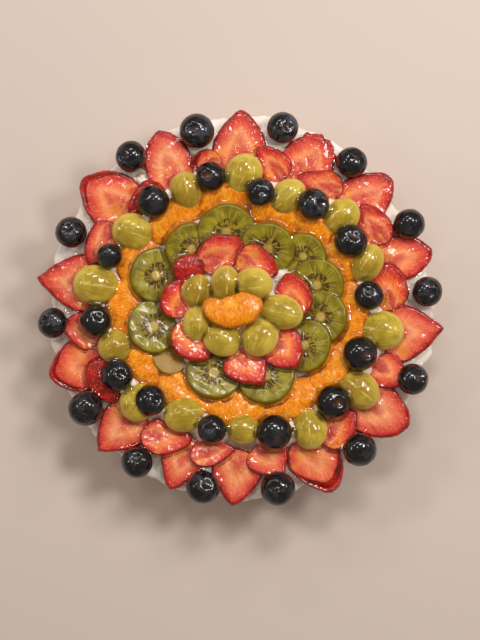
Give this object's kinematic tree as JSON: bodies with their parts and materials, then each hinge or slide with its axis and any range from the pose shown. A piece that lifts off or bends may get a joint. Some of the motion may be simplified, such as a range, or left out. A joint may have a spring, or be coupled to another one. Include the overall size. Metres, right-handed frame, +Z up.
{
  "type": "fruit tart",
  "caption": "Whole round fruit tart: fluted crust, cream to the edge, and rings of glazed strawberry, blueberry, grape, mandarin and kiwi round a centre rosette.",
  "frame": {"origin": "middle of the crust's flat underside, where the tart rests", "axes": "+Z up through the fruit, +X and +Y towards the right and the top of the picture, which looks straight down"},
  "size_m": [0.2429, 0.2371, 0.0564],
  "materials": {
    "crust": "baked shortcrust, matt and slightly grainy",
    "cream": "whipped cream, soft and matt, lightly spread",
    "blueberry": "dark skin with a grey bloom under clear glaze",
    "grape": "pale green skin, translucent, under clear glaze",
    "strawberry": "cut flesh with a dark red rim, wet with glaze",
    "mandarin": "peeled segment with fine juice sacs, wet with glaze",
    "kiwi": "cut flesh with pale core and black seeds, wet with glaze"
  },
  "bodies": {
    "root": {"crust": "crust", "cream": "cream", "top_mandarin": "mandarin", "centre_grape_01": "grape", "centre_grape_02": "grape", "centre_grape_03": "grape", "centre_grape_04": "grape", "centre_grape_05": "grape", "centre_grape_06": "grape", "centre_grape_07": "grape", "inner_strawberry_fan": "strawberry", "inner_strawberry_01": "strawberry", "inner_strawberry_02": "strawberry", "inner_strawberry_03": "strawberry", "inner_strawberry_04": "strawberry", "kiwi_ring": "kiwi", "inner_blueberry_01": "blueberry", "inner_blueberry_02": "blueberry", "inner_blueberry_03": "blueberry", "inner_blueberry_04": "blueberry", "inner_blueberry_05": "blueberry", "inner_blueberry_06": "blueberry", "inner_blueberry_07": "blueberry", "inner_blueberry_08": "blueberry", "inner_blueberry_09": "blueberry", "inner_blueberry_10": "blueberry", "inner_blueberry_11": "blueberry", "inner_blueberry_12": "blueberry", "inner_blueberry_13": "blueberry", "inner_blueberry_14": "blueberry", "mandarin_ring": "mandarin", "outer_grape_01": "grape", "outer_grape_02": "grape", "outer_grape_03": "grape", "outer_grape_04": "grape", "outer_grape_05": "grape", "outer_grape_06": "grape", "outer_grape_07": "grape", "outer_grape_08": "grape", "outer_grape_09": "grape", "outer_grape_10": "grape", "outer_grape_11": "grape", "outer_grape_12": "grape", "outer_grape_13": "grape", "outer_grape_14": "grape", "rim_blueberry_01": "blueberry", "rim_blueberry_02": "blueberry", "rim_blueberry_03": "blueberry", "rim_blueberry_04": "blueberry", "rim_blueberry_05": "blueberry", "rim_blueberry_06": "blueberry", "rim_blueberry_07": "blueberry", "rim_blueberry_08": "blueberry", "rim_blueberry_09": "blueberry", "rim_blueberry_10": "blueberry", "rim_blueberry_11": "blueberry", "rim_blueberry_12": "blueberry", "rim_blueberry_13": "blueberry", "rim_blueberry_14": "blueberry", "strawberry_ring": "strawberry"}
  },
  "joints": []
}
